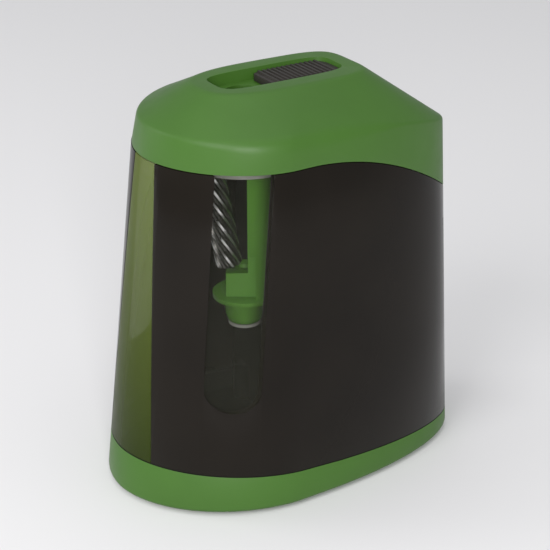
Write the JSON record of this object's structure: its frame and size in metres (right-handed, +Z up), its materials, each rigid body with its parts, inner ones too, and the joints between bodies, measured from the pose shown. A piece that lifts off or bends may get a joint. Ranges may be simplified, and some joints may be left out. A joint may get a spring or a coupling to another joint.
{
  "type": "pencil sharpener",
  "caption": "Battery pencil sharpener with a lift-off head, a helical cutter, smoked side windows, a translucent front strip and a sliding dust shutter.",
  "frame": {"origin": "centre of the footprint, on the surface that the feet stand on", "axes": "+Z up; -Y towards the front strip; length along Y, width along X"},
  "size_m": [0.0624, 0.0953, 0.1044],
  "materials": {
    "green_plastic": "satin moulded, fine grain",
    "translucent_green": "translucent tinted, glossy",
    "black_gloss": "high gloss",
    "smoked_window": "smoked transparent plastic",
    "black_plastic": "matt moulded",
    "steel": "ground and polished",
    "brass": "rolled strip",
    "white_plastic": "natural acetal",
    "cell_jacket": "printed shrink sleeve, plain",
    "rubber": "matt"
  },
  "bodies": {
    "lower_body": {"base_screw_1": "steel", "base_screw_2": "steel", "base_screw_3": "steel", "base_screw_4": "steel", "base_tray": "green_plastic", "battery_box": "black_plastic", "battery_cell_1": "cell_jacket", "battery_cell_2": "cell_jacket", "battery_cell_3": "cell_jacket", "battery_cell_4": "cell_jacket", "bulkhead": "black_plastic", "cell_spring_1": "steel", "cell_spring_2": "steel", "cell_spring_3": "steel", "cell_spring_4": "steel", "contact_tab_left": "brass", "contact_tab_right": "brass", "foot_1": "rubber", "foot_2": "rubber", "foot_3": "rubber", "foot_4": "rubber", "front_lens": "translucent_green", "left_side_panel": "black_gloss", "left_window": "smoked_window", "lower_contact_plate": "brass", "right_side_panel": "black_gloss", "right_window": "smoked_window", "upper_contact_plate": "brass"},
    "head": {"top_cap": "green_plastic", "chassis_plate": "black_plastic", "ring_gear": "white_plastic", "carrier_bush": "brass", "pencil_guide": "black_plastic", "pencil_switch": "black_plastic", "motor_can": "steel", "compound_axle": "steel", "contact_blade_left": "brass", "contact_blade_right": "brass", "plate_screw_1": "steel", "plate_screw_2": "steel", "plate_screw_3": "steel", "plate_screw_4": "steel", "motor_screw_1": "steel", "motor_screw_2": "steel"},
    "carrier": {"cutter_carrier": "green_plastic", "carrier_gear": "white_plastic", "cutter_pin": "steel", "nose_washer": "white_plastic"},
    "cutter": {"helical_cutter": "steel", "cutter_gear": "steel"},
    "compound_gear": {"compound_gear": "white_plastic"},
    "motor_rotor": {"motor_shaft": "steel", "motor_pinion": "brass"},
    "dust_shutter": {"dust_shutter": "black_plastic"},
    "pencil_lever": {"pencil_lever": "white_plastic"},
    "battery_door": {"battery_door": "black_gloss"}
  },
  "joints": [
    {"name": "head_lift", "type": "slide", "parent": "lower_body", "child": "head", "axis": [0, 0, 1], "range_m": [0, 0.06]},
    {"name": "carrier_spin", "type": "hinge", "parent": "head", "child": "carrier", "pos_m": [0, -0.0093, 0.06], "axis": [0, 0, 1], "continuous": true},
    {"name": "cutter_spin", "type": "hinge", "parent": "carrier", "child": "cutter", "pos_m": [-0.00477, -0.01693, 0.0857], "axis": [-0.0875, -0.14, 0.9863], "continuous": true},
    {"name": "compound_spin", "type": "hinge", "parent": "head", "child": "compound_gear", "pos_m": [0, 0.0087, 0.095], "axis": [0, 0, 1], "continuous": true},
    {"name": "motor_spin", "type": "hinge", "parent": "head", "child": "motor_rotor", "pos_m": [0, 0.02295, 0.095], "axis": [0, 0, 1], "continuous": true},
    {"name": "shutter_slide", "type": "slide", "parent": "head", "child": "dust_shutter", "axis": [0, -1, 0], "range_m": [0, 0.0125]},
    {"name": "pencil_lever_tilt", "type": "hinge", "parent": "head", "child": "pencil_lever", "pos_m": [0, -0.028, 0.096], "axis": [-1, 0, 0], "range_deg": [0, 3], "stiffness_Nm_per_rad": 0.002},
    {"name": "battery_door_pull", "type": "slide", "parent": "lower_body", "child": "battery_door", "axis": [0, 1, 0], "range_m": [0, 0.02]}
  ],
  "couplings": [
    {"joint": "cutter_spin", "follows": "carrier_spin", "ratio": -4},
    {"joint": "compound_spin", "follows": "carrier_spin", "ratio": -3},
    {"joint": "motor_spin", "follows": "carrier_spin", "ratio": 8.4}
  ]
}
